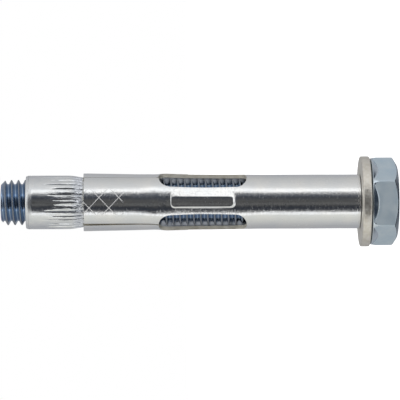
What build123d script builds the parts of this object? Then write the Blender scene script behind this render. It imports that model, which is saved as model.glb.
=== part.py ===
from build123d import *
from math import cos, radians, tan
import os

# Hex head sleeve anchor of four pieces: bolt, washer, rolled expansion sleeve and cone nut.
# Millimetres. +Z runs along the bolt from its head to its tip. The origin is the centre of the
# washer's bearing face, which lies on the fixture, so the head is below it and the sleeve above.

# Bolt: cold headed, with a rolled metric thread. It is drawn as rings of its depth, at its pitch on
# the bare tip and coarser behind the windows, and plain where the sleeve or the nut covers it.
thread_dia = 9.85
thread_pitch = 1.5
thread_depth = 0.92
tip_ring_count = 3
window_ring_count = 7
window_ring_pitch = 2.5
bolt_length = 80.0
tip_chamfer = 1.0
head_sides = 6
head_flats = 17.0
head_height = 6.0
head_corner_radius = 1.4
head_end_dia = 15.7
head_chamfer_angle = 30.0
washer_face_dia = 15.6
washer_face_height = 0.2
collar_dia = 18.8
collar_height = 1.1
collar_edge = 0.3
head_turn = -63.0

# Washer: blanked from sheet, with a loose hole, and reaching past the head's flats and collar
washer_overhang = 1.35
washer_margin = 0.45
washer_thickness = 2.0
washer_play = 0.3
washer_edge = 0.2

# Sleeve: sheet rolled to a tube, sprung open towards its mouth, and just clear of the washer
sleeve_length = 60.1
sleeve_wall = 0.83
sleeve_gap = 0.1
foot_gap = 0.15
mouth_flare = 0.42
neck_flare = 0.11
neck_length = 0.9
strip_bow = 0.33
bow_setback = 1.8
front_strip_turn = -87.5
tongue_count = 3
slit_turn = 2.25
slit_root_width = 0.36
slit_mouth_width = 0.85
seam_gap = 0.2

# Windows: long holes that leave one narrow strip between each two
window_foot = 24.75
window_length = 19.1
window_foot_nose = 2.5
window_tip_nose = 2.65
window_half_angle = 30.0

# Pads: raised bosses on the strips, with sloping sides
pad_foot = 27.5
pad_length = 13.5
pad_width = 2.15
pad_height = 0.22
pad_corner_radius = 0.6
pad_side_slope = 1.3
pad_tip_slope = 1.35
pad_foot_slope = 3.6

# Cone nut: its taper enters the sleeve's mouth, with axial ribs that keep it from turning there
cone_wall = 0.9
cone_length = 13.3
cone_entry = 1.0
cone_angle = 9.0
cone_gap = 0.05
cone_rim = 0.42
cone_rim_drop = 0.28
thread_gap = 0.05
thread_lead = 0.3
groove_count = 30
groove_run = 10.1
groove_depth = 0.2
groove_nose_depth = 0.1
groove_half_angle = 60.0

cut_margin = 0.5

shank_radius = thread_dia / 2
root_radius = shank_radius - thread_depth
bore_radius = shank_radius + sleeve_gap
shield_radius = bore_radius + sleeve_wall
cone_radius = shank_radius + cone_wall
window_tip = window_foot + window_length
bow_height = window_tip - bow_setback
widest_radius = shield_radius + max(mouth_flare, strip_bow) + pad_height


def turned(points):
    """A solid of revolution about Z from a closed outline of (radius, height) points."""
    outline = Polyline([(radius, 0, height) for radius, height in points], close=True)
    return revolve(make_face(outline), axis=Axis.Z)


def bolt_head():
    """Hexagon with rounded corners, chamfered at its outer end, on a round collar and washer face."""
    seat = -washer_thickness
    bearing = seat - washer_face_height
    end = seat - head_height
    corner = head_flats / 2 / cos(radians(180 / head_sides))
    chamfer = (corner - head_end_dia / 2) * tan(radians(head_chamfer_angle))
    hexagon = RegularPolygon(head_flats / 2, head_sides, major_radius=False, rotation=head_turn)
    hexagon = fillet(hexagon.vertices(), head_corner_radius)
    prism = Pos(0, 0, end) * extrude(hexagon, bearing - end)
    blank = turned([
        (0, end),
        (head_end_dia / 2, end),
        (corner, end + chamfer),
        (corner, bearing - collar_height),
        (collar_dia / 2, bearing - collar_edge),
        (collar_dia / 2 - collar_edge, bearing),
        (0, bearing),
    ])
    collar = turned([
        (0, bearing - collar_height),
        (head_flats / 2 - collar_edge, bearing - collar_height),
        (collar_dia / 2, bearing - collar_edge),
        (collar_dia / 2 - collar_edge, bearing),
        (0, bearing),
    ])
    face = Pos(0, 0, bearing) * extrude(Circle(washer_face_dia / 2), washer_face_height)
    return (prism & blank) + collar + face


def thread_rings(first_crest, count, pitch):
    """Crests and the roots between them, from one crest's height upwards, as (radius, height)."""
    line = [(shank_radius, first_crest)]
    for index in range(count):
        crest = first_crest + index * pitch
        line += [(root_radius, crest + pitch / 2), (shank_radius, crest + pitch)]
    return line


def hex_bolt():
    """Head and threaded shank in one piece, the tip chamfered for its start in the nut."""
    seat = -washer_thickness
    tip = seat + bolt_length
    tip_rings = tip - tip_chamfer - tip_ring_count * thread_pitch
    window_rings = (window_foot + window_tip - window_ring_count * window_ring_pitch) / 2
    foot = [(0, seat - washer_face_height), (shank_radius, seat - washer_face_height)]
    thread = thread_rings(window_rings, window_ring_count, window_ring_pitch)
    thread += thread_rings(tip_rings, tip_ring_count, thread_pitch)
    return bolt_head() + turned(foot + thread + [(shank_radius - tip_chamfer, tip), (0, tip)])


def flat_washer():
    """Flat ring under the head, its outer edges rounded by blanking."""
    hole = shank_radius + washer_play
    outer = max(head_flats / 2 + washer_overhang, collar_dia / 2 + washer_margin)
    return turned([
        (hole, -washer_thickness),
        (outer - washer_edge, -washer_thickness),
        (outer, washer_edge - washer_thickness),
        (outer, -washer_edge),
        (outer - washer_edge, 0),
        (hole, 0),
    ])


def sleeve_line(offset):
    """The sheet's run from head end to mouth as (radius, height), this far outside the bore."""
    grown = [
        (0, foot_gap),
        (0, window_foot),
        (strip_bow, bow_height),
        (neck_flare, window_tip + neck_length),
        (mouth_flare, sleeve_length),
    ]
    return [(bore_radius + offset + growth, height) for growth, height in grown]


def window_outline(distance):
    """A window on the plane this far from the axis, its long sides pointing at the axis."""
    half = distance * tan(radians(window_half_angle))
    low = window_foot + window_foot_nose
    high = window_tip - window_tip_nose
    edges = [
        EllipticalCenterArc((low, 0), window_foot_nose, half, start_angle=90, arc_size=180),
        EllipticalCenterArc((high, 0), window_tip_nose, half, start_angle=-90, arc_size=180),
        Line((low, half), (high, half)),
        Line((low, -half), (high, -half)),
    ]
    plane = Plane(origin=(distance, 0, 0), x_dir=(0, 0, 1), z_dir=(1, 0, 0))
    return plane * make_face(edges)


def window_cut():
    """One window's hole, lofted outwards through the sheet along +X."""
    inside = bore_radius * cos(radians(window_half_angle)) - cut_margin
    return loft([window_outline(inside), window_outline(widest_radius + cut_margin)])


def slot_cut(low, high, low_width, high_width):
    """A tapering cut through one wall along +X, from one height to another."""
    outline = Polyline([
        (low, -low_width / 2),
        (high, -high_width / 2),
        (high, high_width / 2),
        (low, low_width / 2),
    ], close=True)
    plane = Plane(origin=(bore_radius / 2, 0, 0), x_dir=(0, 0, 1), z_dir=(1, 0, 0))
    return extrude(plane * make_face(outline), widest_radius)


def slit_cut():
    """One slit, from a window's tip out through the sleeve's mouth."""
    root = window_tip - window_tip_nose / 2
    return slot_cut(root, sleeve_length + cut_margin, slit_root_width, slit_mouth_width)


def seam_cut():
    """The rolled sheet's butt joint, from the head end up to the back window."""
    return slot_cut(-cut_margin, window_foot + window_foot_nose / 2, seam_gap, seam_gap)


def pad_outline(plane, rise):
    """The pad's rounded outline at this height over the strip, wider the lower it is."""
    drop = pad_height - rise
    tip_run = drop * pad_tip_slope
    foot_run = drop * pad_foot_slope
    length = pad_length + tip_run + foot_run
    side_run = drop * pad_side_slope
    corner = pad_corner_radius + side_run
    shape = RectangleRounded(length, pad_width + 2 * side_run, corner)
    shape = Pos((tip_run - foot_run) / 2, 0) * shape
    return plane.offset(rise) * shape


def pad():
    """One raised pad along +X, sloped with its bowed strip and trimmed to a round crown."""
    run = bow_height - window_foot
    middle = pad_foot + pad_length / 2
    radius = shield_radius + strip_bow * (middle - window_foot) / run
    plane = Plane(origin=(radius, 0, middle), x_dir=(strip_bow, 0, run), z_dir=(run, 0, -strip_bow))
    block = loft([pad_outline(plane, -sleeve_wall / 2), pad_outline(plane, pad_height)], ruled=True)
    crown = sleeve_line(sleeve_wall + pad_height)
    return block & turned([(0, foot_gap)] + crown + [(0, sleeve_length)])


def expansion_sleeve():
    """Rolled tube with three pads on three strips, three windows, three slits and the back seam."""
    tube = turned(sleeve_line(0) + sleeve_line(sleeve_wall)[::-1])
    step = 360 / tongue_count
    for index in range(tongue_count):
        strip_turn = front_strip_turn + index * step
        tube += Rot(0, 0, strip_turn) * pad()
        window_turn = strip_turn + step / 2
        tube -= Rot(0, 0, window_turn) * window_cut() + Rot(0, 0, window_turn + slit_turn) * slit_cut()
    return tube - Rot(0, 0, front_strip_turn + 180) * seam_cut()


def groove_section(height, floor):
    """A groove's triangular section at one height, open outwards along +X."""
    rim = cone_radius + cut_margin
    half = (rim - floor) * tan(radians(groove_half_angle))
    outline = Polyline([(floor, 0), (rim, half), (rim, -half)], close=True)
    return Pos(0, 0, height) * make_face(outline)


def cone_nut():
    """Threaded cone with V grooves that fade out on its cylinder and leave the ribs between them."""
    seat_radius = bore_radius + mouth_flare - cone_gap
    slope = tan(radians(cone_angle))
    nose = sleeve_length - cone_entry
    nose_radius = seat_radius - cone_entry * slope
    outer = cone_radius
    shoulder = sleeve_length + (outer - seat_radius) / slope
    top = nose + cone_length
    bore = shank_radius + thread_gap
    body = turned([
        (bore, nose),
        (nose_radius, nose),
        (outer, shoulder),
        (outer, top - cone_rim),
        (outer - cone_rim_drop, top),
        (bore + thread_lead, top),
        (bore, top - thread_lead),
    ])
    fade = nose + groove_run
    nose_fall = (outer - groove_depth - nose_radius + groove_nose_depth) / (shoulder - nose)
    fade_rise = groove_depth / (fade - shoulder)
    groove = loft([
        groove_section(nose - cut_margin, nose_radius - groove_nose_depth - cut_margin * nose_fall),
        groove_section(shoulder, outer - groove_depth),
        groove_section(fade + cut_margin, outer + cut_margin * fade_rise),
    ], ruled=True)
    return body - [Rot(0, 0, 360 * index / groove_count) * groove for index in range(groove_count)]


pieces = {
    "hex_bolt": hex_bolt,
    "flat_washer": flat_washer,
    "expansion_sleeve": expansion_sleeve,
    "cone_nut": cone_nut,
}

os.makedirs("parts", exist_ok=True)
for name, make in pieces.items():
    export_step(make(), f"parts/{name}.step")
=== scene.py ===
"""Hex head sleeve anchor: zinc plated bolt, washer, rolled expansion sleeve and ribbed cone nut.

Sizes are in millimetres, as on the drawing, and mesh_piece() turns them to metres. +Z runs from
the head to the tip. The origin is the centre of the washer's bearing face. Angles are polar about
+Z: -90 degrees faces the camera, and 0 is up in its picture.
"""
from functools import partial

import bmesh
import bpy
import numpy as np
from mathutils import Matrix, Vector


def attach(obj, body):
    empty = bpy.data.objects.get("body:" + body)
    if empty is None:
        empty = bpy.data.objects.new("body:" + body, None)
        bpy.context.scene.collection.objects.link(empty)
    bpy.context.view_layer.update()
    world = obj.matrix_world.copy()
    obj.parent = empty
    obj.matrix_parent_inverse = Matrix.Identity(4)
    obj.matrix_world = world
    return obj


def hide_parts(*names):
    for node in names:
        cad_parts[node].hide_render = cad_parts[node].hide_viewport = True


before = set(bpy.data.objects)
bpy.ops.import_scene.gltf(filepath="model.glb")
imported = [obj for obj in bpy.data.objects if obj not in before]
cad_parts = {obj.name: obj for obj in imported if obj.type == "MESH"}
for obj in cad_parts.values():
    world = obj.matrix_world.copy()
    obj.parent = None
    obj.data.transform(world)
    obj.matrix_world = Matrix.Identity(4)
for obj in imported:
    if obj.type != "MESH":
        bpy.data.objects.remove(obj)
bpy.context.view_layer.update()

MM = 0.001
WELD = 0.0002             # points of a piece that lie this close are made one
WHITE = (1, 1, 1, 1)

# Bolt
THREAD_RADIUS = 4.925
PITCH = 1.5
THREAD_DEPTH = 0.92
CREST_HEIGHT = 75.76      # a crest passes here at polar angle 0
THREAD_START = 24.6       # the shank below is plain, at the diameter it was rolled from
THREAD_GROWTH = 2.2       # height over which the thread grows out of it
SHANK_RADIUS = 4.5
BOLT_TIP = 78.0
TIP_CHAMFER = 1.0
HEAD_FLATS = 16.76        # a 17 mm head at the low end of its tolerance
HALF_SIDE = np.radians(30)      # from the middle of a flat to its corner
HEAD_END = -8.0
HEAD_END_RADIUS = 7.85
HEAD_CHAMFER = 30.0
HEAD_CORNER = 0.6
HEAD_TURN = -63.0         # polar angle of a corner
BEARING = -2.2
COLLAR_RADIUS = 9.4
COLLAR_HEIGHT = 1.77
COLLAR_BAND = 0.2         # height of the collar's rim, above its cone
COLLAR_FOOT_DEPTH = 0.3   # how far behind the flats that cone starts
WASHER_FACE_RADIUS = 7.8

# Washer
WASHER_RADIUS = 9.85
WASHER_HOLE = 5.225
WASHER_THICKNESS = 2.0
RIM_DENTS = 0.012         # mean depth of the dents round its rim

# Sleeve
SHIELD_RADIUS = 5.91
WALL = 0.83
FOOT = 0.15
MOUTH = 60.1
STRIP_TURN = -87.5        # polar angle of the front strip's middle
HALF_SECTOR = 60.0        # degrees from a window's middle to a strip's
SHIELD_TOP = 21.6         # between the shield's grids and those of the windows and strips
SHIELD_COLUMNS = 11
WINDOW_FOOT = 24.75
WINDOW_TIP = 43.85
FOOT_NOSE = 2.5
TIP_NOSE = 2.65
WINDOW_ANGLE = 30.0
FLAT_REACH = 0.6          # radians from a strip's middle to where it keeps its curve
FLAT_HEIGHT = [SHIELD_TOP, 25.0, 40.0, 43.0, 45.0, 48.5]
FLAT_SHARE = [0, 0.06, 0.06, 0.15, 0.15, 0]    # share of its curve that a strip has lost there
STRIP_WAIST = 1.5         # degrees that a strip is narrower on each side at its middle
TONGUE_TURN = 2.0         # degrees that the tongues stand off their strips
TURN_START = 41.5         # their turn sets in between this height
TONGUE_START = 46.0       # and this one
SLIT_TURN = (-0.8, 2.0, 5.4)      # degrees that each slit stands off its window
SLIT_OPENING = (0.2, 1.0, 1.2)    # and how far each is open, of the half widths that follow
SLIT_ROOT = 0.1           # half of a slit's width at the window
SLIT_MOUTH = 0.3          # half of its width at the mouth
SHORT_TONGUE = 0.15       # mm that the front tongue falls short of the others
SEAM = 0.1                # half of the butt joint's gap
SEAM_END = (25.0, 27.0)   # heights over which it runs out into the back window
SHEARED_SOFTNESS = 0.07   # width of the bevel on the sheet's sheared edges
SHIELD_WAVINESS = 0.012   # mm that the sheet waves in and out
TONGUE_WAVINESS = 0.032
WAVINESS_RISE = (26.0, 45.0)    # heights over which the waves grow from the one to the other
PAD_FOOT = 27.8
PAD_TIP = 41.15
PAD_HALF = 1.06           # half of its width
PAD_SHIFT = 0.18          # mm that a pad stands off its strip's middle, towards -theta
PAD_HEIGHT = (0.27, 0.16)       # over the strip, at its foot and at its tip
PAD_CORNER = 0.75
PAD_SIDE_RUN = 0.28       # of its steep slope, towards -theta
PAD_GENTLE_RUN = 1.3      # of its gentle slope, towards +theta
PAD_TIP_RUN = 0.1
PAD_FOOT_RUN = 0.68
PAD_LASTING = 0.25        # share of the height that the gentle side keeps up to the window
PAD_LASTING_RUN = 1.2     # mm beyond the pad's ends over which that share is lost
PAD_TAIL = 0.2            # share of the height in the steep side's hollow foot
PAD_TAIL_RUN = 1.1

# Cone nut
CONE_RADIUS = 5.825
CONE_NOSE = 59.1
CONE_NOSE_RADIUS = 5.237
CONE_SHOULDER = 62.8
SHOULDER_BLEND = 0.3      # mm over which the taper runs into the cylinder
CONE_TOP = 72.4
CONE_RIM = 0.42
CONE_RIM_DROP = 0.28
RIM_LIP = 0.18            # mm that the rim stands over the end face
RING_HEIGHT = 71.4        # middle of a shallow ring that the tool left
RING_HALF = 0.09
RING_DEPTH = 0.035
THREAD_GAP = 0.05
NOSE_LEAD = 0.15          # mm that the thread's lead is wider than its bore, at the nose
TOP_LEAD = 0.3
LEAD_SLOPE = 1.3
RIB_COUNT = 30
RIB_RUN = 10.1
RIB_DEPTH = 0.2
RIB_NOSE_DEPTH = 0.1
RIB_RISE = 0.8            # mm past the shoulder up to which a groove deepens
RIB_STRAY = 1.9           # degrees that a groove may stand off its even place
RIB_END_STRAY = (-2.6, 0.5)     # mm that its end may be off
RIB_DEPTH_STRAY = (0.45, 1.35)  # shares of the depth that it may have
GROOVE_SLOPE = 0.58       # of a groove's flanks, 120 degrees apart

rng = np.random.default_rng(7)


# Meshes

def grid_quads(rows, columns):
    """Quads between the neighbours of a rows x columns grid of points, numbered row by row."""
    corner = np.arange(rows - 1)[:, None] * columns + np.arange(columns - 1)[None, :]
    return np.stack([corner, corner + 1, corner + 1 + columns, corner + columns], -1).reshape(-1, 4)


def ring_points(radius, height, theta):
    """Points from radius and height over the polar angle theta, in radians."""
    radius, height, theta = np.broadcast_arrays(radius, height, theta)
    return np.stack([radius * np.cos(theta), radius * np.sin(theta), height], -1)


def smooth_step(x, low, high):
    """0 on low's side, 1 on high's side, and a cubic with level ends between them."""
    t = np.clip((x - low) / (high - low), 0, 1)
    return t * t * (3 - 2 * t)


def waves(theta, height, seed, turns=5, length=12.0):
    """A smooth unevenness from -1 to 1: the mean of eight slanting sine waves around and along."""
    draw = np.random.default_rng(seed)
    count = 8
    total = 0
    for _ in range(count):
        around = draw.integers(0, turns + 1)
        along = 2 * np.pi / (length * draw.uniform(0.6, 2.0))
        total = total + np.sin(around * theta + along * height + draw.uniform(0, 2 * np.pi))
    return total / count


def mesh_piece(name, points, quads, materials, body, node, finish=None, sharp=38):
    """A piece from points in mm: coincident points welded, smooth, split where it turns sharply."""
    mesh = bpy.data.meshes.new(name)
    mesh.vertices.add(len(points))
    mesh.vertices.foreach_set("co", (points * MM).astype(np.float32).ravel())
    mesh.loops.add(quads.size)
    mesh.loops.foreach_set("vertex_index", quads.astype(np.int32).ravel())
    mesh.polygons.add(len(quads))
    mesh.polygons.foreach_set("loop_start", np.arange(0, quads.size, 4, dtype=np.int32))
    if finish is not None:
        mesh.polygons.foreach_set("material_index", finish.astype(np.int32))
    mesh.update(calc_edges=True)
    work = bmesh.new()
    work.from_mesh(mesh)
    bmesh.ops.remove_doubles(work, verts=work.verts, dist=WELD * MM)
    bmesh.ops.dissolve_degenerate(work, edges=work.edges, dist=WELD * MM / 2)
    bmesh.ops.recalc_face_normals(work, faces=work.faces)
    work.to_mesh(mesh)
    work.free()
    mesh.polygons.foreach_set("use_smooth", np.ones(len(mesh.polygons), bool))
    mesh.set_sharp_from_angle(angle=np.radians(sharp))
    for material in materials:
        mesh.materials.append(material)
    piece = bpy.data.objects.new(name, mesh)
    bpy.context.scene.collection.objects.link(piece)
    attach(piece, body)
    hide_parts(node)
    return piece


# Thread

# The rolled thread's half profile, from a crest's middle to the root's: pitches, and mm inwards
THREAD_U = np.array([0.0, 0.04, 0.08, 0.13, 0.21, 0.29, 0.35, 0.395, 0.44, 0.5])
THREAD_IN = np.array([0.0, 0.012, 0.06, 0.18, 0.40, 0.63, 0.79, 0.87, 0.905, THREAD_DEPTH])
THREAD_ROWS = np.concatenate([THREAD_U[:-1], 1 - THREAD_U[:0:-1]])


def thread_radius(height, theta):
    """Radius of the thread: the half profile mirrored about each crest of a right-hand helix."""
    u = (height - CREST_HEIGHT) / PITCH - theta / (2 * np.pi)
    return THREAD_RADIUS - np.interp(np.abs(u - np.round(u)), THREAD_U, THREAD_IN)


def helix_rows(low, high, theta):
    """Heights of rows that follow the helix, one for each point of the profile, held in low..high."""
    turns = np.arange(np.floor((low - CREST_HEIGHT) / PITCH) - 1,
                      np.ceil((high - CREST_HEIGHT) / PITCH) + 2)
    u = (turns[:, None] + THREAD_ROWS[None, :]).ravel()
    height = CREST_HEIGHT + PITCH * (u[:, None] + theta[None, :] / (2 * np.pi))
    return np.clip(height, low, high)


# Bolt

def hexagon_radius(theta):
    """Radius of a hexagon with rounded corners: the flat's line, or the corner's arc near it."""
    flat = HEAD_FLATS / 2
    part = (theta - np.radians(HEAD_TURN)) / (2 * HALF_SIDE)
    off = np.abs(part - np.round(part)) * 2 * HALF_SIDE
    line = flat / np.cos(HALF_SIDE - off)
    centre = (flat - HEAD_CORNER) / np.cos(HALF_SIDE)
    inside = np.clip(HEAD_CORNER**2 - (centre * np.sin(off))**2, 0, None)
    arc = centre * np.cos(off) + np.sqrt(inside)
    tangent = HALF_SIDE - np.arctan((flat - HEAD_CORNER) * np.tan(HALF_SIDE) / flat)
    return np.where(off < tangent, arc, line)


def head_rows(theta):
    """Rows of (radius, height) from the middle of the head's end to the shank, for each angle.

    A row keeps its meaning all round: the end face, its soft edge, the 30 degree chamfer up to
    the hexagon, the flat up to the collar's cone or a corner's trimming cone, the collar's rim,
    the bearing face, the washer face's step and the fillet under the head. The hundredths of a
    mm beside an edge are its softness.
    """
    hexagon = hexagon_radius(theta)
    slope = np.tan(np.radians(HEAD_CHAMFER))
    chamfer_top = HEAD_END + (hexagon - HEAD_END_RADIUS) * slope
    band = BEARING - COLLAR_HEIGHT
    rim = BEARING - COLLAR_BAND
    cone_foot = HEAD_FLATS / 2 - COLLAR_FOOT_DEPTH
    trim_foot = HEAD_FLATS / 2 / np.cos(HALF_SIDE)
    on_cone = band + (hexagon - cone_foot) / (COLLAR_RADIUS - cone_foot) * (rim - band)
    on_trim = band + (trim_foot - hexagon) / (trim_foot - COLLAR_RADIUS) * (rim - band)
    meets = np.where(hexagon < COLLAR_RADIUS, on_cone, on_trim)
    rows = [(radius, HEAD_END) for radius in (0.0, 1.5, 3.0, 4.5, 6.0, 7.0, 7.5)]
    rows += [(HEAD_END_RADIUS - 0.12, HEAD_END + 0.004), (HEAD_END_RADIUS + 0.02, HEAD_END + 0.035)]
    for part in (0.12, 0.35, 0.6, 0.85):
        radius = HEAD_END_RADIUS + (hexagon - HEAD_END_RADIUS) * part
        rows.append((radius, HEAD_END + (radius - HEAD_END_RADIUS) * slope + 0.006))
    rows.append((hexagon - 0.14, chamfer_top - 0.14 * slope))
    rows.append((hexagon - 0.045, chamfer_top + 0.012))
    rows.append((hexagon - 0.012, chamfer_top + 0.06))
    low, high = chamfer_top + 0.15, meets - 0.2
    for part in (0, 0.2, 0.5, 0.8, 1):
        rows.append((hexagon, low + (high - low) * part))
    rows.append((hexagon + np.where(hexagon < COLLAR_RADIUS, 0.012, -0.008), meets - 0.04))
    for part in (0.08, 0.35, 0.8, 0.96, 1):
        rows.append((hexagon + (COLLAR_RADIUS - hexagon) * part, meets + (rim - meets) * part))
    rows += [(COLLAR_RADIUS, rim + 0.06), (COLLAR_RADIUS - 0.04, BEARING - 0.07),
             (COLLAR_RADIUS - 0.12, BEARING - 0.02), (COLLAR_RADIUS - 0.25, BEARING),
             (WASHER_FACE_RADIUS + 0.05, BEARING), (WASHER_FACE_RADIUS, BEARING + 0.05),
             (WASHER_FACE_RADIUS - 0.03, -WASHER_THICKNESS), (6.2, -WASHER_THICKNESS),
             (5.0, -WASHER_THICKNESS), (4.72, -1.88), (4.56, -1.6)]
    radius = np.array([np.broadcast_to(r, theta.shape) for r, _ in rows])
    height = np.array([np.broadcast_to(h, theta.shape) for _, h in rows])
    return radius, height


# Faces of the head between these rows are its chamfer and its collar, which the die coined
CHAMFER_ROWS = (8, 15)
COLLAR_ROWS = (21, 30)
FILLET_ROWS = 3           # the head's last rows, finished as the shank is
FORGED, ROLLED, COINED = range(3)


def threaded_bolt(forged, rolled, coined):
    """The bolt as one closed skin, a grid of rows from the middle of its head's end to its tip's.

    Columns stand closer at the hexagon's corners. The shank's rows follow the helix, so a row
    that has gone once round runs into the row one pitch higher, where the two are welded. The
    thread grows out of the neck over its first turns, and the tip's 45 degree chamfer cuts it.
    """
    to_flat = np.array([0, 0.6, 1.2, 1.8, 4.5, 9.0, 14.0, 19.0, 24.5, 30.0])
    sector = np.concatenate([to_flat, 60 - to_flat[-2:0:-1]])
    theta = np.radians(HEAD_TURN + np.concatenate([sector + 60 * k for k in range(6)] + [[360.0]]))
    head_radius, head_height = head_rows(theta)
    shank_height = np.repeat([[-1.2], [0.5], [8.0], [16.0], [22.0]], len(theta), 1)
    height = helix_rows(THREAD_START, BOLT_TIP, theta)
    grown = smooth_step(height, THREAD_START, THREAD_START + THREAD_GROWTH)
    radius = SHANK_RADIUS + (thread_radius(height, theta) - SHANK_RADIUS) * grown
    radius = np.minimum(radius, THREAD_RADIUS - np.clip(height - BOLT_TIP + TIP_CHAMFER, 0, None))
    end_radius = radius[-1] * np.array([0.85, 0.5, 0.2, 0.0])[:, None]
    shank = np.full(shank_height.shape, SHANK_RADIUS)
    radius = np.concatenate([head_radius, shank, radius, end_radius])
    height = np.concatenate([head_height, shank_height, height, np.full(end_radius.shape, BOLT_TIP)])
    points = ring_points(radius, height, theta[None, :]).reshape(-1, 3)
    on_head = np.arange(len(radius) - 1) < len(head_radius) - FILLET_ROWS
    finish = np.where(on_head, FORGED, ROLLED)
    for low, high in (CHAMFER_ROWS, COLLAR_ROWS):
        finish[low:high] = COINED
    return mesh_piece("bolt", points, grid_quads(*radius.shape), [forged, rolled, coined],
                      "bolt", "hex_bolt", finish=np.repeat(finish, len(theta) - 1))


# Washer

def flat_washer(tumbled):
    """A ring from a closed profile: blanked with one edge rolled over, tumbled until soft."""
    hole, outer, low = WASHER_HOLE, WASHER_RADIUS, -WASHER_THICKNESS
    profile = np.array([
        (hole, -0.9), (hole, -0.3), (hole + 0.02, -0.08), (hole + 0.08, -0.01), (hole + 0.3, 0),
        (6.6, 0), (8.0, 0), (9.2, 0), (9.5, -0.005), (outer - 0.2, -0.04), (outer - 0.08, -0.11),
        (outer - 0.02, -0.22), (outer, -0.4), (outer, -0.9), (outer, -1.4), (outer - 0.01, -1.75),
        (outer - 0.05, -1.88), (outer - 0.13, -1.96), (outer - 0.26, -1.995), (9.3, low), (8.2, low),
        (6.6, low), (hole + 0.3, low), (hole + 0.08, low + 0.01), (hole + 0.02, low + 0.08),
        (hole, low + 0.3), (hole, -0.9)])
    theta = np.radians(np.linspace(0, 360, 241))
    radius, height = profile[:, :1] * np.ones_like(theta), profile[:, 1:] * np.ones_like(theta)
    on_rim = smooth_step(radius, outer - 0.3, outer)
    radius = radius - on_rim * RIM_DENTS * (1 + waves(theta, height, seed=3, turns=19, length=3.0))
    points = ring_points(radius, height, theta[None, :]).reshape(-1, 3)
    return mesh_piece("washer", points, grid_quads(*radius.shape), [tumbled],
                      "washer", "flat_washer", sharp=50)


# Sleeve

# How far the sheet has sprung out past the shield, in mm, along the sleeve
GROWTH_HEIGHT = [28.0, 30.5, 32.6, 34.8, 37.0, 38.7, 40.0, 41.3, 42.2, 43.1, 44.0, 44.8, 46.1,
                 47.9, 50.0, 52.2, 54.4, 56.6, 58.8, 60.1]
GROWTH = [0, 0.02, 0.045, 0.06, 0.085, 0.145, 0.2, 0.24, 0.275, 0.185, 0.1, 0.075, 0.12,
          0.17, 0.225, 0.265, 0.31, 0.355, 0.41, 0.41]


def nose_angle(part):
    """Half-angle of a window, in degrees, at this part of its nose's ellipse, 1 at its widest."""
    return np.degrees(np.arctan(np.tan(np.radians(WINDOW_ANGLE)) * part))


def slit_angle(height, opening):
    """Half-angle of a slit, in degrees, widening evenly from the window to the mouth."""
    half = np.interp(height, [WINDOW_TIP, MOUTH], [SLIT_ROOT, SLIT_MOUTH]) * opening
    return np.degrees(half / SHIELD_RADIUS)


def strip_middle(height):
    """Points (angle, height) on a strip's middle line."""
    return np.stack([np.full(height.shape, HALF_SECTOR), height], -1)


def cell_edges(opening):
    """The two edges of half a sector, from a window's middle to a strip's, as (angle, height).

    One runs round the window's foot nose, up the strip's side, round the tip nose and up the
    slit, which starts just short of the nose's point. The other runs along the shield and then
    up the strip's middle. Equal rows face each other, and stand closest at the pad's two ends.
    """
    turn = np.concatenate([np.linspace(0, 50, SHIELD_COLUMNS), np.linspace(50, 90, 16)[1:]])
    turn = np.radians(turn)
    foot_in = np.stack([nose_angle(np.sin(turn)),
                        WINDOW_FOOT + FOOT_NOSE * (1 - np.cos(turn))], -1)
    along = np.stack([np.linspace(0, HALF_SECTOR, SHIELD_COLUMNS),
                      np.full(SHIELD_COLUMNS, SHIELD_TOP)], -1)
    up = np.array([23.4, 24.5, 25.2, 25.7, 26.0, 26.2, 26.35, 26.5, 26.62, 26.74, 26.84, 26.94,
                   27.04, 27.14, 27.25])
    foot_out = np.concatenate([along, strip_middle(up)])
    low, high = WINDOW_FOOT + FOOT_NOSE, WINDOW_TIP - TIP_NOSE
    side = np.concatenate([np.arange(low, 28.0, 0.1)[1:], np.linspace(28.1, 40.0, 24),
                           np.arange(40.15, 41.0, 0.13), np.arange(41.08, high + 0.03, 0.05)])
    side[-1] = high
    waist = STRIP_WAIST * np.sin(np.pi * (side - low) / (high - low))
    side_in = np.stack([WINDOW_ANGLE + waist, side], -1)
    turn = np.radians(np.linspace(90, 4, 20)[1:])
    tip_in = np.stack([nose_angle(np.sin(turn)), high + TIP_NOSE * np.cos(turn)], -1)
    tip_in[:, 0] = np.maximum(tip_in[:, 0], slit_angle(tip_in[:, 1], opening))
    tip = np.concatenate([np.linspace(41.3, 42.2, 7), np.linspace(42.5, 47.0, 12)])
    part = np.concatenate([np.linspace(0, 0.96, 30)[1:], [0.985, 1.0]])
    slit = tip_in[-1, 1] + (MOUTH - tip_in[-1, 1]) * part
    slit_in = np.stack([slit_angle(slit, opening), slit], -1)
    tongue = tip[-1] + (MOUTH - tip[-1]) * part
    return (np.concatenate([foot_in, side_in, tip_in, slit_in]),
            np.concatenate([foot_out, strip_middle(np.concatenate([side, tip, tongue]))]))


# Columns across a strip's half width, in mm from its middle, closest at the pad's sloping side
STRIP_COLUMNS = np.array([0, 0.3, 0.6, 0.8, 0.86, 0.92, 1.0, 1.12, 1.2, 1.25, 1.3, 1.4, 1.48, 1.54,
                          1.6, 1.75, 1.95, 2.2, 2.5, 2.8, 3.07])


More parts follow.
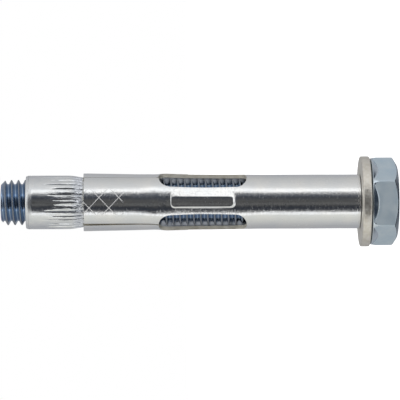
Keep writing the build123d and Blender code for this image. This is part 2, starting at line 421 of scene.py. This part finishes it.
def pad_rise(across, height):
    """Height of a pad, in mm, by the distance from its crown, a rectangle with rounded corners.

    Towards -theta and at both ends it falls straight, the side with a hollow foot. Towards
    +theta it falls as the square of the distance left, to a share that lasts up to the window
    and is lost beyond the pad's ends.
    """
    across = across + PAD_SHIFT
    middle, half_length = (PAD_FOOT + PAD_TIP) / 2, (PAD_TIP - PAD_FOOT) / 2
    side = np.abs(across) - PAD_HALF + PAD_CORNER
    end = np.abs(height - middle) - half_length + PAD_CORNER
    past_side, past_end = np.clip(side, 0, None), np.clip(end, 0, None)
    past = np.hypot(past_side, past_end)
    outside = past + np.minimum(np.maximum(side, end), 0) - PAD_CORNER
    endways = (past_end / np.maximum(past, 1e-6))**2
    end_run = np.where(height < middle, PAD_FOOT_RUN, PAD_TIP_RUN)
    steep, tail = (np.clip(1 - outside / (run + (end_run - run) * endways), 0, 1)
                   for run in (PAD_SIDE_RUN, PAD_TAIL_RUN))
    past_crown = np.clip(outside, 0, None)
    at_end = np.clip(1 - np.clip(end - PAD_CORNER, 0, None) / end_run, 0, 1)
    lasting = PAD_LASTING * smooth_step(end - PAD_CORNER, PAD_LASTING_RUN, 0)
    gentle = lasting + (1 - PAD_LASTING) * np.clip(1 - past_crown / PAD_GENTLE_RUN, 0, 1)**2 * at_end
    fall = np.where(across > 0, gentle, steep + PAD_TAIL * (tail**2 - steep))
    return np.interp(height, [PAD_FOOT, PAD_TIP], PAD_HEIGHT) * fall


def sleeve_radius(theta, height, across):
    """Outer radius of the sheet: the shield, its spring outwards, the pad and a slight waviness.

    A strip and its tongue move straight out and keep their curve, so they spring by the cosine
    of the angle from their middle. A strip is also pressed a little flatter, most at its neck:
    it gains a share of half that angle's square, less half of what it gains at FLAT_REACH.
    """
    aside = across / SHIELD_RADIUS
    grown = np.interp(height, GROWTH_HEIGHT, GROWTH) * np.cos(aside)
    pressed = np.interp(height, FLAT_HEIGHT, FLAT_SHARE)
    flatter = SHIELD_RADIUS * pressed * (np.minimum(aside**2, FLAT_REACH**2) - FLAT_REACH**2 / 2) / 2
    loose = SHIELD_WAVINESS + (TONGUE_WAVINESS - SHIELD_WAVINESS) * smooth_step(height, *WAVINESS_RISE)
    uneven = loose * waves(theta, height, seed=11)
    return SHIELD_RADIUS + grown + flatter + pad_rise(across, height) + uneven


def rolled_sleeve(sheet, edge, inside):
    """The sheet as a skin of six half sectors, mirrored in pairs and thickened inwards.

    Each is two grids. The shield's is even in height. The other runs straight across from the
    window's and slit's edge to the shield's top and the strip's middle. The pair at the back
    leaves the butt joint open from the foot to its window.
    """
    part = 1 - STRIP_COLUMNS / STRIP_COLUMNS[-1]
    shield_height = np.concatenate([[FOOT, FOOT + 0.16, FOOT + 0.4], np.linspace(1.2, SHIELD_TOP, 30)])
    points, quads, start = [], [], 0
    for window, opening in enumerate(SLIT_OPENING):
        middle = STRIP_TURN + HALF_SECTOR * (1 + 2 * window)
        at_back = window == 1
        inner, outer = cell_edges(opening)
        cell = inner[:, None, :] + (outer - inner)[:, None, :] * part[None, :, None]
        shield = np.stack(np.meshgrid(outer[:SHIELD_COLUMNS, 0], shield_height), -1)
        for side in (-1, 1):
            at_front = (middle + HALF_SECTOR * side - STRIP_TURN) % 360 == 0
            for grid in (cell, shield):
                angle, height = grid[..., 0], grid[..., 1]
                if at_back:
                    gap = np.degrees(SEAM / SHIELD_RADIUS) * (1 - smooth_step(height, *SEAM_END))
                    angle = angle + gap * (1 - angle / HALF_SECTOR)
                turned = SLIT_TURN[window] + (TONGUE_TURN - SLIT_TURN[window]) * angle / HALF_SECTOR
                turned = turned * smooth_step(height, TURN_START, TONGUE_START)
                theta = np.radians(middle + side * angle + turned)
                across = -side * np.radians(HALF_SECTOR - angle) * SHIELD_RADIUS
                radius = sleeve_radius(theta, height, across)
                if at_front:
                    height = height - SHORT_TONGUE * smooth_step(height, TONGUE_START, MOUTH)
                points.append(ring_points(radius, height, theta).reshape(-1, 3))
                faces = grid_quads(*angle.shape) + start
                quads.append(faces[:, ::-1] if side * (1 if grid is cell else -1) > 0 else faces)
                start += angle.size
    piece = mesh_piece("sleeve", np.concatenate(points), np.concatenate(quads), [sheet],
                       "sleeve", "expansion_sleeve", sharp=60)
    piece.data.materials.append(edge)
    piece.data.materials.append(inside)
    thicken = piece.modifiers.new("sheet thickness", "SOLIDIFY")
    thicken.thickness = WALL * MM
    thicken.offset = -1
    thicken.material_offset_rim = 1     # to the edge's finish
    thicken.material_offset = 2         # to the inside's
    soften = piece.modifiers.new("sheared edges", "BEVEL")
    soften.width = SHEARED_SOFTNESS * MM
    soften.segments = 2
    soften.limit_method = "ANGLE"
    soften.angle_limit = np.radians(55)
    soften.harden_normals = True
    return piece


# Cone nut

def cone_nut(turned):
    """The cone nut as one closed skin: out from its nose, over the rim, and back down its thread.

    The outside is the taper and cylinder less a fan of V grooves, each deepest about the
    shoulder and fading on the cylinder at its own height. The inside is the bolt's helix a
    little larger, opened by a lead at both ends.
    """
    # Degrees from a groove's middle to each of its columns, and the share of its stray they have
    offset = np.array([-6, -4.4, -3.3, -2.2, -1.1, 0, 1.1, 2.2, 3.3, 4.4])
    steady = np.array([0, 0.5, 1, 1, 1, 1, 1, 1, 1, 0.5])
    step = 360 / RIB_COUNT
    stray = rng.uniform(-RIB_STRAY, RIB_STRAY, RIB_COUNT)
    turn = step * np.arange(RIB_COUNT)[:, None] + offset + stray[:, None] * steady
    turn = np.append(turn.ravel(), turn[0, 0] + 360)
    theta = np.radians(turn)
    rib = np.append(np.repeat(np.arange(RIB_COUNT), len(offset)), 0)
    from_groove = np.append(np.tile(offset, RIB_COUNT), offset[0])

    # The last three rows go 0.08 mm back and forth, which doubles a narrow band under the rim
    height = np.concatenate([
        CONE_NOSE + np.array([0.0, 0.03, 0.12]), np.linspace(59.6, 62.6, 12),
        [CONE_SHOULDER, 62.95, 63.1, 63.3], np.linspace(63.6, 70.4, 24),
        [70.8, 71.1, 71.22, 71.3, RING_HEIGHT, 71.5, 71.58, 71.7],
        [72.0, CONE_TOP - CONE_RIM - 0.06, CONE_TOP - CONE_RIM + 0.02]])
    fall = (CONE_RADIUS - CONE_NOSE_RADIUS) / (CONE_SHOULDER - CONE_NOSE)
    below = (CONE_SHOULDER - height) / SHOULDER_BLEND
    taper = CONE_RADIUS - fall * SHOULDER_BLEND * np.logaddexp(0, below)
    taper[:3] -= [0.1, 0.03, 0.0]
    taper = taper - RING_DEPTH * np.exp(-((height - RING_HEIGHT) / RING_HALF)**2)
    ends = CONE_NOSE + RIB_RUN + rng.uniform(*RIB_END_STRAY, RIB_COUNT)
    deep = rng.uniform(*RIB_DEPTH_STRAY, RIB_COUNT)
    fade = np.clip((ends[rib][None, :] - height[:, None]) / (ends[rib] - CONE_SHOULDER), 0, 1)
    rise = np.interp(height, [CONE_NOSE, CONE_SHOULDER + RIB_RISE], [RIB_NOSE_DEPTH / RIB_DEPTH, 1])
    depth = RIB_DEPTH * deep[rib][None, :] * np.sqrt(fade) * rise[:, None]
    groove = np.clip(depth - np.abs(np.radians(from_groove)) * CONE_RADIUS * GROOVE_SLOPE, 0, None)
    outside = taper[:, None] - groove
    outer_height = np.broadcast_to(height[:, None], outside.shape)

    rim = np.array([(CONE_RADIUS - 0.1, CONE_TOP + 0.02), (CONE_RADIUS - 0.2, CONE_TOP + RIM_LIP),
                    (CONE_RADIUS - CONE_RIM_DROP, CONE_TOP - 0.02),
                    (CONE_RADIUS - CONE_RIM_DROP - 0.05, CONE_TOP)])
    inner_height = helix_rows(CONE_NOSE, CONE_TOP, theta)[::-1]
    inside = thread_radius(inner_height, theta) + THREAD_GAP
    lead = np.where(inner_height < (CONE_NOSE + CONE_TOP) / 2, NOSE_LEAD, TOP_LEAD)
    from_end = np.minimum(CONE_TOP - inner_height, inner_height - CONE_NOSE)
    inside = np.maximum(inside, THREAD_RADIUS + THREAD_GAP + lead - LEAD_SLOPE * from_end)
    same = np.ones_like(theta)
    radius = np.concatenate([outside, rim[:, :1] * same, inside, outside[:1]])
    height = np.concatenate([outer_height, rim[:, 1:] * same, inner_height, outer_height[:1]])
    points = ring_points(radius, height, theta[None, :]).reshape(-1, 3)
    return mesh_piece("ribbed_cone", points, grid_quads(*radius.shape), [turned],
                      "nut", "cone_nut", sharp=50)


# Finishes

# A pattern is as large as the marks that it stands for. Only the plating's grain is drawn
# coarser, 0.3 to 0.5 mm across, because its few hundredths of a mm are too fine to show. Among
# its inputs a Mix has the factor at 0, values at 2 and 3 and colours at 6 and 7. A Map Range has
# the value at 0, and takes the range from 1 to 2 to that from 3 to 4.
NOISE_LOW, NOISE_HIGH = 0.3, 0.7      # most of a noise pattern lies between these
RUBBED_RADIUS = 4.88                  # the thread's crests are rubbed from here outwards
COINED_DULL = (-5.0, -6.0)            # heights over which the head's coined zinc turns darker in colour
PRESSED = (69.5, 66.0)                # heights over which the cone's streaks set in
FROSTED = (62.8, 61.6)                # and its frosting at the sleeve's mouth
FACED = (71.2, 71.5)                  # and the dull finish of its faced end


def linear(code):
    """A colour's linear channels and alpha from its sRGB hex code."""
    channels = [int(code[i:i + 2], 16) / 255 for i in (0, 2, 4)]
    return [c / 12.92 if c <= 0.04045 else ((c + 0.055) / 1.055)**2.4 for c in channels] + [1.0]


def add_node(tree, kind, inputs, output=0, **settings):
    """One output of a new node of this kind, its inputs, by name or number, set or linked."""
    node = tree.nodes.new("ShaderNode" + kind)
    for name, value in settings.items():
        setattr(node, name, value)
    for key, value in inputs.items():
        if isinstance(value, bpy.types.NodeSocket):
            tree.links.new(value, node.inputs[key])
        else:
            node.inputs[key].default_value = value
    return node.outputs[output]


def metal(name, colour, roughness):
    """A new metal: the material, its Principled shader, what adds a node, and object coordinates."""
    material = bpy.data.materials.new(name)
    material.use_nodes = True
    tree = material.node_tree
    shader = next(n for n in tree.nodes if n.type == "BSDF_PRINCIPLED")
    shader.inputs["Metallic"].default_value = 1.0
    shader.inputs["Base Color"].default_value = linear(colour)
    shader.inputs["Roughness"].default_value = roughness
    place = tree.nodes.new("ShaderNodeTexCoord").outputs["Object"]
    return material, shader, partial(add_node, tree), place


def dress(material, shader, colour, roughness, normal):
    """The three patterned sockets into the shader."""
    for name, socket in (("Base Color", colour), ("Roughness", roughness), ("Normal", normal)):
        material.node_tree.links.new(socket, shader.inputs[name])
    return material


def per_mm(*sizes):
    """Scale of a pattern, or of a pattern's three axes, whose patches are this many mm across."""
    scale = [1 / (MM * size) for size in sizes]
    return scale if len(scale) > 1 else scale[0]


def forged_zinc():
    """Blue bright zinc over a cold headed blank.

    It is satin, so it shows no reflection, only a mottled pale blue with faint streaks drawn
    along the flats.
    """
    material, shader, node, place = metal("zinc_on_headed_steel", "D8E3EC", 0.66)
    cloud = node("TexNoise", {"Vector": place, "Scale": per_mm(2.6), "Detail": 4})
    streaked = node("Mapping", {"Vector": place, "Scale": per_mm(0.3, 0.3, 2.4)})
    streaks = node("TexNoise", {"Vector": streaked, "Scale": 1, "Detail": 4})
    swell = node("Bump", {"Height": cloud, "Distance": 0.02 * MM})
    return dress(material, shader,
                 node("Mix", {0: cloud, 6: linear("BCD2E2"), 7: linear("ECF2F5")}, 2, data_type="RGBA"),
                 node("MapRange", {0: cloud, 1: NOISE_LOW, 2: NOISE_HIGH, 3: 0.6, 4: 0.72}),
                 node("Bump", {"Height": streaks, "Distance": 0.012 * MM, "Normal": swell}))


def coined_zinc():
    """The same zinc where the die pressed hardest: smoother, and dark where it mirrors the dark.

    Its chamfer at the head's end is given a darker colour than the collar.
    """
    material, shader, node, place = metal("zinc_on_coined_steel", "C9D6E2", 0.16)
    height = node("SeparateXYZ", {0: place}, 2)
    chamfer = node("MapRange", {0: height, 1: COINED_DULL[0] * MM, 2: COINED_DULL[1] * MM})
    cloud = node("TexNoise", {"Vector": place, "Scale": per_mm(1.5), "Detail": 4})
    grain = node("TexNoise", {"Vector": place, "Scale": per_mm(0.5), "Detail": 4})
    collar = node("Mix", {0: cloud, 6: linear("B4C6D6"), 7: linear("E2E8EC")}, 2, data_type="RGBA")
    return dress(material, shader,
                 node("Mix", {0: chamfer, 6: collar, 7: linear("8A96A1")}, 2, data_type="RGBA"),
                 node("MapRange", {0: cloud, 1: NOISE_LOW, 2: NOISE_HIGH, 3: 0.1, 4: 0.22}),
                 node("Bump", {"Height": grain, "Distance": 0.008 * MM}))


def rolled_zinc():
    """Zinc on the rolled thread: smooth and blue in the roots, grey and dull on the rubbed crests."""
    material, shader, node, place = metal("zinc_on_rolled_thread", "C9D6E2", 0.17)
    across = node("Mapping", {"Vector": place, "Scale": (1, 1, 0)})
    radius = node("VectorMath", {0: across}, "Value", operation="LENGTH")
    crest = node("MapRange", {0: radius, 1: SHANK_RADIUS * MM, 2: RUBBED_RADIUS * MM})
    cloud = node("TexNoise", {"Vector": place, "Scale": per_mm(1.8), "Detail": 3})
    grain = node("TexNoise", {"Vector": place, "Scale": per_mm(0.3), "Detail": 3})
    root = node("Mix", {0: cloud, 6: linear("7088A3"), 7: linear("A6B8CF")}, 2, data_type="RGBA")
    smooth = node("MapRange", {0: cloud, 1: NOISE_LOW, 2: NOISE_HIGH, 3: 0.05, 4: 0.1})
    return dress(material, shader,
                 node("Mix", {0: crest, 6: root, 7: linear("999FA8")}, 2, data_type="RGBA"),
                 node("Mix", {0: crest, 2: smooth, 3: 0.42}),
                 node("Bump", {"Height": grain, "Distance": 0.006 * MM}))


def tumbled_zinc():
    """Zinc on a tumbled washer: warmer, its rim dented and streaked across by the blanking punch."""
    material, shader, node, place = metal("zinc_on_tumbled_washer", "EDEAE2", 0.38)
    cloud = node("TexNoise", {"Vector": place, "Scale": per_mm(0.9), "Detail": 5})
    dents = node("TexNoise", {"Vector": place, "Scale": per_mm(0.6), "Detail": 4})
    streaked = node("Mapping", {"Vector": place, "Scale": per_mm(0.35, 0.35, 2.5)})
    streaks = node("TexNoise", {"Vector": streaked, "Scale": 1, "Detail": 4})
    dented = node("Bump", {"Height": dents, "Distance": 0.07 * MM})
    return dress(material, shader,
                 node("Mix", {0: cloud, 6: linear("CBC4B2"), 7: linear("FBF9F5")}, 2, data_type="RGBA"),
                 node("MapRange", {0: cloud, 1: NOISE_LOW, 2: NOISE_HIGH, 3: 0.32, 4: 0.48}),
                 node("Bump", {"Height": streaks, "Distance": 0.045 * MM, "Normal": dented}))


SCRIBE_RADIUS = 6.2       # of the front tongue, which turns angles to mm
SCRIBE_LEAN = 1.05        # mm round the sleeve for each mm along it
SCRIBE_SPACING = 4.48     # of the lines of one family, taken round the sleeve
SCRIBE_RISING = 56.07     # where a line of each family passes, as scribed_cross() says
SCRIBE_FALLING = 58.51
SCRIBE_WIDTH = (0.17, 0.08)     # mm off a line's middle where it begins and is full
SCRIBE_SIDE = (3.2, 2.2)        # mm off the tongue's middle where the lines begin and are full
SCRIBE_FOOT = (51.2, 51.8)      # heights where they begin and are full


def scribed_cross(node, place):
    """Factor of the crossed lines scribed on the front tongue, 1 on a line.

    In mm, v runs round the sleeve from the camera's side and z along it. A line of one family
    lies where z times the lean, plus v, is a whole number of spacings from SCRIBE_RISING. One of
    the other lies where z times the lean, less v, is that from SCRIBE_FALLING. Both fade towards
    the tongue's sides and end before the window.
    """
    turn = node("Math", {0: node("SeparateXYZ", {0: place}, 1), 1: node("SeparateXYZ", {0: place}, 0)},
                operation="ARCTAN2")
    v = node("Math", {0: turn, 1: SCRIBE_RADIUS, 2: SCRIBE_RADIUS * np.pi / 2},
             operation="MULTIPLY_ADD")
    height = node("SeparateXYZ", {0: place}, 2)
    z = node("Math", {0: height, 1: SCRIBE_LEAN / MM}, operation="MULTIPLY")
    nearest = []
    for operation, line in (("ADD", SCRIBE_RISING), ("SUBTRACT", SCRIBE_FALLING)):
        diagonal = node("Math", {0: z, 1: v}, operation=operation)
        offset = node("Math", {0: diagonal, 1: line}, operation="SUBTRACT")
        nearest.append(node("Math", {0: offset, 1: SCRIBE_SPACING / 2}, operation="PINGPONG"))
    away = node("Math", {0: nearest[0], 1: nearest[1]}, operation="MINIMUM")
    line = node("MapRange", {0: away, 1: SCRIBE_WIDTH[0], 2: SCRIBE_WIDTH[1]})
    aside = node("Math", {0: v}, operation="ABSOLUTE")
    inside = node("MapRange", {0: aside, 1: SCRIBE_SIDE[0], 2: SCRIBE_SIDE[1]})
    above = node("MapRange", {0: height, 1: SCRIBE_FOOT[0] * MM, 2: SCRIBE_FOOT[1] * MM})
    masked = node("Math", {0: line, 1: inside}, operation="MULTIPLY")
    return node("Math", {0: masked, 1: above}, operation="MULTIPLY")


def bright_sheet():
    """Bright zinc on cold rolled sheet.

    It is nearly a mirror, so it shows the tent's bands sharply. Long faint waves and rubbed
    streaks from the rolling break their borders up, and the cross scribed on one tongue is dull.
    """
    material, shader, node, place = metal("bright_zinc_sheet", "ECEDEC", 0.08)
    haze = node("TexNoise", {"Vector": place, "Scale": per_mm(4.0), "Detail": 3})
    rubbed = node("Mapping", {"Vector": place, "Scale": per_mm(0.6, 0.6, 0.22)})
    rub = node("TexNoise", {"Vector": rubbed, "Scale": 1, "Detail": 5})
    drawn = node("Mapping", {"Vector": place, "Scale": per_mm(0.5, 0.5, 7.0)})
    draw = node("TexNoise", {"Vector": drawn, "Scale": 1, "Detail": 4})
    cross = scribed_cross(node, place)
    roughness = node("MapRange", {0: rub, 1: 0.42, 2: 0.72, 3: 0.05, 4: 0.3})
    sheet = node("Mix", {0: haze, 6: linear("DEE3E8"), 7: linear("F2F0EC")}, 2, data_type="RGBA")
    wavy = node("Bump", {"Height": draw, "Distance": 0.012 * MM})
    return dress(material, shader,
                 node("Mix", {0: cross, 6: sheet, 7: WHITE}, 2, data_type="RGBA"),
                 node("Mix", {0: cross, 2: roughness, 3: 0.75}),
                 node("Bump", {"Height": rub, "Distance": 0.03 * MM, "Normal": wavy}))


def sheared_edge():
    """The sheet's sheared edges, half burnished and half torn.

    They are rough and warm, so they take the light softly: darker where they face the camera,
    and nearly white round the windows' noses.
    """
    material, shader, node, place = metal("sheared_sheet_edge", "DAD7CE", 0.32)
    torn = node("Mapping", {"Vector": place, "Scale": per_mm(0.7, 0.7, 0.25)})
    tear = node("TexNoise", {"Vector": torn, "Scale": 1, "Detail": 4})
    patches = node("TexNoise", {"Vector": place, "Scale": per_mm(2.2), "Detail": 3})
    warm = node("Mix", {0: patches, 6: linear("CFCABB"), 7: linear("FBF9F3")}, 2, data_type="RGBA")
    return dress(material, shader, warm,
                 node("MapRange", {0: tear, 1: NOISE_LOW, 2: NOISE_HIGH, 3: 0.62, 4: 0.8}),
                 node("Bump", {"Height": tear, "Distance": 0.03 * MM}))


def inner_sheet():
    """The rolled sheet's inside, grey and clouded: its colour is darker than the outside's, painted
    shade for the shade within the sleeve.
    """
    material, shader, node, place = metal("inside_sheet_with_painted_shade", "C4CAD0", 0.3)
    cloud = node("TexNoise", {"Vector": place, "Scale": per_mm(1.6), "Detail": 4})
    return dress(material, shader,
                 # painted shade: these colours are darker than the outer sheet's, standing in for the
                 # shade inside the sleeve
                 node("Mix", {0: cloud, 6: linear("AEB4BB"), 7: linear("D6DADE")}, 2, data_type="RGBA"),
                 node("MapRange", {0: cloud, 1: NOISE_LOW, 2: NOISE_HIGH, 3: 0.24, 4: 0.36}),
                 node("Bump", {"Height": cloud, "Distance": 0.02 * MM}))


def turned_zinc():
    """Bright zinc on a turned cone.

    The cylinder is smooth and mottled, and duller on the last millimetre, where it was faced.
    Where the ribs were pressed it is streaked along them, and frosted at the sleeve's mouth.
    """
    material, shader, node, place = metal("zinc_on_turned_cone", "E9EAEA", 0.2)
    height = node("SeparateXYZ", {0: place}, 2)
    pressed = node("MapRange", {0: height, 1: PRESSED[0] * MM, 2: PRESSED[1] * MM})
    frosted = node("MapRange", {0: height, 1: FROSTED[0] * MM, 2: FROSTED[1] * MM})
    faced = node("MapRange", {0: height, 1: FACED[0] * MM, 2: FACED[1] * MM})
    cloud = node("TexNoise", {"Vector": place, "Scale": per_mm(1.4), "Detail": 4})
    streaked = node("Mapping", {"Vector": place, "Scale": per_mm(0.5, 0.5, 4.0)})
    streaks = node("TexNoise", {"Vector": streaked, "Scale": 1, "Detail": 3})
    dashed = node("Mapping", {"Vector": place, "Scale": per_mm(0.45, 0.45, 1.2)})
    dashes = node("TexNoise", {"Vector": dashed, "Scale": 1, "Detail": 3})
    plain = node("MapRange", {0: cloud, 1: NOISE_LOW, 2: NOISE_HIGH, 3: 0.12, 4: 0.26})
    rough = node("Mix", {0: frosted, 2: plain, 3: 0.26})
    mottled = node("Bump", {"Height": cloud, "Distance": 0.025 * MM})
    along = node("Math", {0: streaks, 1: pressed}, operation="MULTIPLY")
    across = node("Math", {0: dashes, 1: frosted}, operation="MULTIPLY")
    ribbed = node("Bump", {"Height": along, "Distance": 0.1 * MM, "Normal": mottled})
    bright = node("Mix", {0: cloud, 6: linear("D8DDE3"), 7: linear("F3F3F1")}, 2, data_type="RGBA")
    return dress(material, shader,
                 node("Mix", {0: frosted, 6: bright, 7: linear("E6EAF1")}, 2, data_type="RGBA"),
                 node("Mix", {0: faced, 2: rough, 3: 0.36}),
                 node("Bump", {"Height": across, "Distance": 0.28 * MM, "Normal": ribbed}))


# Stage, light and camera

# Light round the anchor, by degrees from the camera's side, those towards -X below 0. Two white
# strips stand at about 48 degrees with a dark gap and its faint lines between them, and the
# tent's grey walls lie behind.
PLAIN, COOL, BLUE, WARM = (1, 1, 1), (0.97, 0.98, 1.02), (0.87, 0.97, 1.22), (1.01, 1.01, 0.96)
AROUND = [
    (-180, 0.42, COOL), (-131, 0.44, COOL), (-106, 0.55, PLAIN), (-80, 0.69, WARM),
    (-58, 0.80, WARM), (-54, 1.08, PLAIN), (-49, 1.28, PLAIN), (-46, 0.88, PLAIN),
    (-42.5, 0.34, PLAIN), (-38.5, 0.11, COOL), (-32, 0.045, BLUE), (-23, 0.038, BLUE),
    (-17, 0.055, COOL), (-11, 0.17, PLAIN), (-6, 0.08, PLAIN), (0, 0.045, PLAIN),
    (7, 0.11, PLAIN), (11, 0.085, COOL), (19, 0.05, BLUE), (26, 0.10, BLUE), (32, 0.20, COOL),
    (37, 0.37, COOL), (40, 0.62, PLAIN), (44, 1.22, PLAIN), (48, 1.30, PLAIN), (54, 1.18, PLAIN),
    (59, 0.88, PLAIN), (66, 0.77, PLAIN), (87, 0.66, PLAIN), (113, 0.57, PLAIN),
    (134, 0.50, COOL), (180, 0.42, COOL)]
DARK_END = (0.035, 0.045, 0.06, 1.0)
PAST_HEAD = (-0.6, -0.85)     # along z, of a direction, over which the tent opens past the head
BEHIND = (-0.45, -0.15)       # and along y, so that it stays closed on the camera's side


def studio_light():
    """A soft tent round the anchor, white for the camera and in these bands for reflections.

    The bands are rings about the camera's direction, stretched round the anchor: the ring's
    angle is the hypotenuse of the angle round the axis and the elevation. Past the head, and
    a little behind it, the tent is open and dark.
    """
    world = bpy.data.worlds.new("light tent")
    bpy.context.scene.world = world
    world.use_nodes = True
    tree = world.node_tree
    tree.nodes.clear()
    node = partial(add_node, tree)
    direction = node("TexCoord", {}, "Generated")
    x, y, z = (node("SeparateXYZ", {0: direction}, axis) for axis in range(3))
    facing = node("Math", {0: y, 1: -1}, operation="MULTIPLY")
    angle = node("Math", {0: x, 1: facing}, operation="ARCTAN2")
    elevation = node("Math", {0: z}, operation="ARCSINE")
    flat = node("CombineXYZ", {0: angle, 1: elevation})
    length = node("VectorMath", {0: flat}, "Value", operation="LENGTH")
    side = node("Math", {0: angle}, operation="SIGN")
    ring = node("Math", {0: length, 1: side}, operation="MULTIPLY")
    ramp = node("ValToRGB", {0: node("MapRange", {0: ring, 1: -np.pi, 2: np.pi})})
    stops = ramp.node.color_ramp.elements
    while len(stops) > 1:
        stops.remove(stops[-1])
    for index, (degrees, brightness, tint) in enumerate(AROUND):
        stop = stops[0] if index == 0 else stops.new((degrees + 180) / 360)
        stop.position = (degrees + 180) / 360
        stop.color = [brightness * channel for channel in tint] + [1.0]
    past_head = node("MapRange", {0: z, 1: PAST_HEAD[0], 2: PAST_HEAD[1]},
                     interpolation_type="SMOOTHSTEP")
    behind = node("MapRange", {0: y, 1: BEHIND[0], 2: BEHIND[1]}, interpolation_type="SMOOTHSTEP")
    opening = node("Math", {0: past_head, 1: behind}, operation="MULTIPLY")
    tent = node("Mix", {0: opening, 6: ramp, 7: DARK_END}, 2, data_type="RGBA")
    seen = node("LightPath", {}, "Is Camera Ray")
    sky = node("Mix", {0: seen, 6: tent, 7: WHITE}, 2, data_type="RGBA")
    light = node("Background", {"Color": sky, "Strength": 1.0})
    tree.links.new(light, tree.nodes.new("ShaderNodeOutputWorld").inputs[0])


FLOOR_HALF = 3000.0       # half of the sheet's side
FLOOR_DROP = 0.02         # and how far it lies under the head's end


def pale_floor():
    """A wide pale sheet under the head, lit evenly enough to stay white in the picture."""
    mesh = bpy.data.meshes.new("floor")
    half, z = FLOOR_HALF * MM, (HEAD_END - FLOOR_DROP) * MM
    mesh.from_pydata([(-half, -half, z), (half, -half, z), (half, half, z), (-half, half, z)], [],
                     [(0, 1, 2, 3)])
    floor = bpy.data.objects.new("floor", mesh)
    bpy.context.scene.collection.objects.link(floor)
    material = bpy.data.materials.new("pale_paper")
    material.use_nodes = True
    shader = next(n for n in material.node_tree.nodes if n.type == "BSDF_PRINCIPLED")
    shader.inputs["Base Color"].default_value = (0.75, 0.75, 0.75, 1)
    shader.inputs["Roughness"].default_value = 0.9
    shader.inputs["Emission Color"].default_value = WHITE
    shader.inputs["Emission Strength"].default_value = 1.0
    mesh.materials.append(material)
    floor.visible_glossy = False


PICTURE = 400             # pixels on a side
PIXEL = 0.2177            # mm of the anchor that one of them spans
IMAGE_MIDDLE = 34.81      # height on the anchor at the picture's middle
CAMERA_HEIGHT = 46.2      # the camera stands a little nearer the tip than it looks
DISTANCE = 581.0
AXIS_SHIFT = 0.42         # mm that the camera stands off the axis, towards +X
ROLL = 0.19               # degrees


def place_camera():
    """The camera nearly square to the anchor, its right along -Z and its up along +X, rolled."""
    roll = np.radians(ROLL)
    target = Vector((AXIS_SHIFT, 0, IMAGE_MIDDLE)) * MM
    place = Vector((AXIS_SHIFT, -DISTANCE, CAMERA_HEIGHT)) * MM
    back = (place - target).normalized()
    right = Vector((np.cos(roll), 0, -np.sin(roll))).cross(back).normalized()
    data = bpy.data.cameras.new("camera")
    data.sensor_width = 36.0
    data.lens = data.sensor_width * (place - target).length / (PICTURE * PIXEL * MM)
    data.clip_start = 0.01
    camera = bpy.data.objects.new("camera", data)
    bpy.context.scene.collection.objects.link(camera)
    turn = Matrix((right, back.cross(right), back)).transposed().to_4x4()
    camera.matrix_world = Matrix.Translation(place) @ turn
    bpy.context.scene.camera = camera


threaded_bolt(forged_zinc(), rolled_zinc(), coined_zinc())
flat_washer(tumbled_zinc())
rolled_sleeve(bright_sheet(), sheared_edge(), inner_sheet())
cone_nut(turned_zinc())
studio_light()
pale_floor()
place_camera()
bpy.context.scene.view_settings.view_transform = "Standard"
